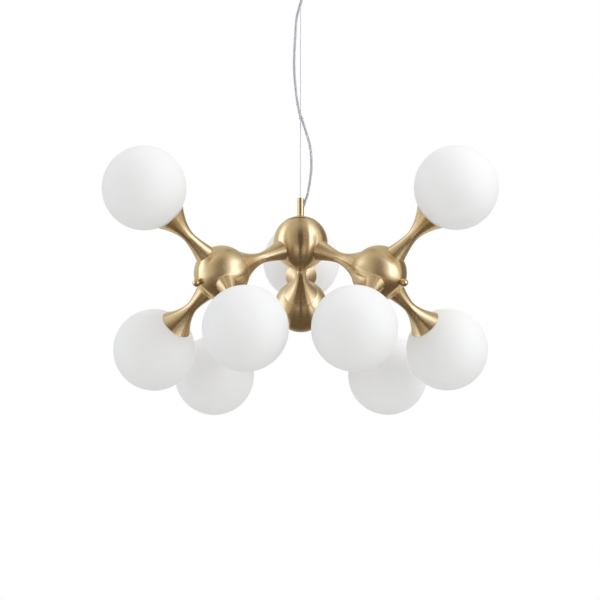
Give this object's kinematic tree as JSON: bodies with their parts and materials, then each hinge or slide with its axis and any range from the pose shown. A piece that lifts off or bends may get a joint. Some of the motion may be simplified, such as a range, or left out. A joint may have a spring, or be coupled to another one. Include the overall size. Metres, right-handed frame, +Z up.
{
  "type": "multi arm chandelier",
  "caption": "Pendant chandelier with brass hubs, trumpet arms and opal glass globes, hung on a steel wire and cord from a round ceiling canopy.",
  "frame": {"origin": "on the ceiling plane, on the lamp's vertical axis, at the centre of the mounting bracket's top face", "axes": "+Z up into the ceiling, +X to the right, -Y towards the viewer at the front"},
  "size_m": [0.5618, 0.5703, 0.6757],
  "materials": {
    "satin_brass": "satin, brushed round the turning axis, clear lacquered",
    "opal_glass": "opal white, acid-etched matte outside",
    "silicone": "matte translucent white",
    "ceramic": "glazed steatite, white",
    "bulb_glass": "frosted",
    "steel_wire": "stranded galvanised wire",
    "clear_pvc": "clear PVC over tinned conductors",
    "terminal_plastic": "moulded white",
    "zinc_steel": "zinc plated"
  },
  "bodies": {
    "ceiling_base": {"mounting_bracket": "zinc_steel", "centre_nipple": "zinc_steel", "nipple_nuts": "zinc_steel", "terminal_block": "terminal_plastic"},
    "canopy": {"canopy_cover": "satin_brass", "grip_body": "satin_brass", "cord_gland": "clear_pvc"},
    "release": {"release_nose": "satin_brass"},
    "pendant": {"wire_stops": "steel_wire", "suspension_wire": "steel_wire", "power_cord": "clear_pvc", "cord_tie": "clear_pvc", "cord_bush": "clear_pvc", "stem": "satin_brass", "hub_lid": "satin_brass", "hub_center": "satin_brass", "tie_rods": "zinc_steel", "lock_nuts": "zinc_steel", "finials": "satin_brass", "arm_pipes": "zinc_steel", "link_arm_left": "satin_brass", "link_arm_right": "satin_brass", "link_arm_back": "satin_brass", "hub_left": "satin_brass", "hub_right": "satin_brass", "hub_back": "satin_brass", "lampholders_left": "ceramic", "lampholders_right": "ceramic", "lampholders_back": "ceramic", "bulbs_left": "bulb_glass", "bulbs_right": "bulb_glass", "bulbs_back": "bulb_glass", "arm_left_top": "satin_brass", "arm_left_outer": "satin_brass", "arm_left_front": "satin_brass", "arm_right_top": "satin_brass", "arm_right_outer": "satin_brass", "arm_right_front": "satin_brass", "arm_back_top": "satin_brass", "arm_back_right": "satin_brass", "arm_back_left": "satin_brass"},
    "ring_left_top": {"gasket_left_top": "silicone"},
    "shade_left_top": {"globe_left_top": "opal_glass"},
    "ring_left_outer": {"gasket_left_outer": "silicone"},
    "shade_left_outer": {"globe_left_outer": "opal_glass"},
    "ring_left_front": {"gasket_left_front": "silicone"},
    "shade_left_front": {"globe_left_front": "opal_glass"},
    "ring_right_top": {"gasket_right_top": "silicone"},
    "shade_right_top": {"globe_right_top": "opal_glass"},
    "ring_right_outer": {"gasket_right_outer": "silicone"},
    "shade_right_outer": {"globe_right_outer": "opal_glass"},
    "ring_right_front": {"gasket_right_front": "silicone"},
    "shade_right_front": {"globe_right_front": "opal_glass"},
    "ring_back_top": {"gasket_back_top": "silicone"},
    "shade_back_top": {"globe_back_top": "opal_glass"},
    "ring_back_right": {"gasket_back_right": "silicone"},
    "shade_back_right": {"globe_back_right": "opal_glass"},
    "ring_back_left": {"gasket_back_left": "silicone"},
    "shade_back_left": {"globe_back_left": "opal_glass"}
  },
  "joints": [
    {"name": "canopy_turn", "type": "hinge", "parent": "ceiling_base", "child": "canopy", "pos_m": [0, 0, -0.022], "axis": [0, 0, 1], "range_deg": [-90, 90]},
    {"name": "release_push", "type": "slide", "parent": "canopy", "child": "release", "axis": [0, 0, 1], "range_m": [0, 0.003], "stiffness_N_per_m": 300, "springref_m": -0.004},
    {"name": "pendant_swing", "type": "hinge", "parent": "canopy", "child": "pendant", "pos_m": [0, 0, -0.034], "axis": [1, 0, 0], "range_deg": [-6, 6]},
    {"name": "globe_left_top_turn", "type": "hinge", "parent": "pendant", "child": "ring_left_top", "pos_m": [-0.22091, -0.14285, -0.40066], "axis": [-0.6382, -0.4591, 0.6181], "range_deg": [0, 540]},
    {"name": "globe_left_top_draw", "type": "slide", "parent": "ring_left_top", "child": "shade_left_top", "axis": [-0.6382, -0.4591, 0.6181], "range_m": [0, 0.00451]},
    {"name": "globe_left_outer_turn", "type": "hinge", "parent": "pendant", "child": "ring_left_outer", "pos_m": [-0.21512, 0.03503, -0.59501], "axis": [-0.6039, 0.5935, -0.532], "range_deg": [0, 540]},
    {"name": "globe_left_outer_draw", "type": "slide", "parent": "ring_left_outer", "child": "shade_left_outer", "axis": [-0.6039, 0.5935, -0.532], "range_m": [0, 0.00451]},
    {"name": "globe_left_front_turn", "type": "hinge", "parent": "pendant", "child": "ring_left_front", "pos_m": [-0.07519, -0.18733, -0.61569], "axis": [0.224, -0.7222, -0.6544], "range_deg": [0, 540]},
    {"name": "globe_left_front_draw", "type": "slide", "parent": "ring_left_front", "child": "shade_left_front", "axis": [0.224, -0.7222, -0.6544], "range_m": [0, 0.00451]},
    {"name": "globe_right_top_turn", "type": "hinge", "parent": "pendant", "child": "ring_right_top", "pos_m": [0.22091, -0.14285, -0.40066], "axis": [0.6382, -0.4591, 0.6181], "range_deg": [0, 540]},
    {"name": "globe_right_top_draw", "type": "slide", "parent": "ring_right_top", "child": "shade_right_top", "axis": [0.6382, -0.4591, 0.6181], "range_m": [0, 0.00451]},
    {"name": "globe_right_outer_turn", "type": "hinge", "parent": "pendant", "child": "ring_right_outer", "pos_m": [0.21512, 0.03503, -0.59501], "axis": [0.6039, 0.5935, -0.532], "range_deg": [0, 540]},
    {"name": "globe_right_outer_draw", "type": "slide", "parent": "ring_right_outer", "child": "shade_right_outer", "axis": [0.6039, 0.5935, -0.532], "range_m": [0, 0.00451]},
    {"name": "globe_right_front_turn", "type": "hinge", "parent": "pendant", "child": "ring_right_front", "pos_m": [0.07519, -0.18733, -0.61569], "axis": [-0.224, -0.7222, -0.6544], "range_deg": [0, 540]},
    {"name": "globe_right_front_draw", "type": "slide", "parent": "ring_right_front", "child": "shade_right_front", "axis": [-0.224, -0.7222, -0.6544], "range_m": [0, 0.00451]},
    {"name": "globe_back_top_turn", "type": "hinge", "parent": "pendant", "child": "ring_back_top", "pos_m": [0, 0.26299, -0.40014], "axis": [0, 0.7837, 0.6211], "range_deg": [0, 540]},
    {"name": "globe_back_top_draw", "type": "slide", "parent": "ring_back_top", "child": "shade_back_top", "axis": [0, 0.7837, 0.6211], "range_m": [0, 0.00451]},
    {"name": "globe_back_right_turn", "type": "hinge", "parent": "pendant", "child": "ring_back_right", "pos_m": [0.13177, 0.16366, -0.60562], "axis": [0.7797, 0.1959, -0.5947], "range_deg": [0, 540]},
    {"name": "globe_back_right_draw", "type": "slide", "parent": "ring_back_right", "child": "shade_back_right", "axis": [0.7797, 0.1959, -0.5947], "range_m": [0, 0.00451]},
    {"name": "globe_back_left_turn", "type": "hinge", "parent": "pendant", "child": "ring_back_left", "pos_m": [-0.13177, 0.16366, -0.60562], "axis": [-0.7797, 0.1959, -0.5947], "range_deg": [0, 540]},
    {"name": "globe_back_left_draw", "type": "slide", "parent": "ring_back_left", "child": "shade_back_left", "axis": [-0.7797, 0.1959, -0.5947], "range_m": [0, 0.00451]}
  ],
  "couplings": [
    {"joint": "globe_left_top_draw", "follows": "globe_left_top_turn", "m_per_rad": 0.00047746},
    {"joint": "globe_left_outer_draw", "follows": "globe_left_outer_turn", "m_per_rad": 0.00047746},
    {"joint": "globe_left_front_draw", "follows": "globe_left_front_turn", "m_per_rad": 0.00047746},
    {"joint": "globe_right_top_draw", "follows": "globe_right_top_turn", "m_per_rad": 0.00047746},
    {"joint": "globe_right_outer_draw", "follows": "globe_right_outer_turn", "m_per_rad": 0.00047746},
    {"joint": "globe_right_front_draw", "follows": "globe_right_front_turn", "m_per_rad": 0.00047746},
    {"joint": "globe_back_top_draw", "follows": "globe_back_top_turn", "m_per_rad": 0.00047746},
    {"joint": "globe_back_right_draw", "follows": "globe_back_right_turn", "m_per_rad": 0.00047746},
    {"joint": "globe_back_left_draw", "follows": "globe_back_left_turn", "m_per_rad": 0.00047746}
  ]
}
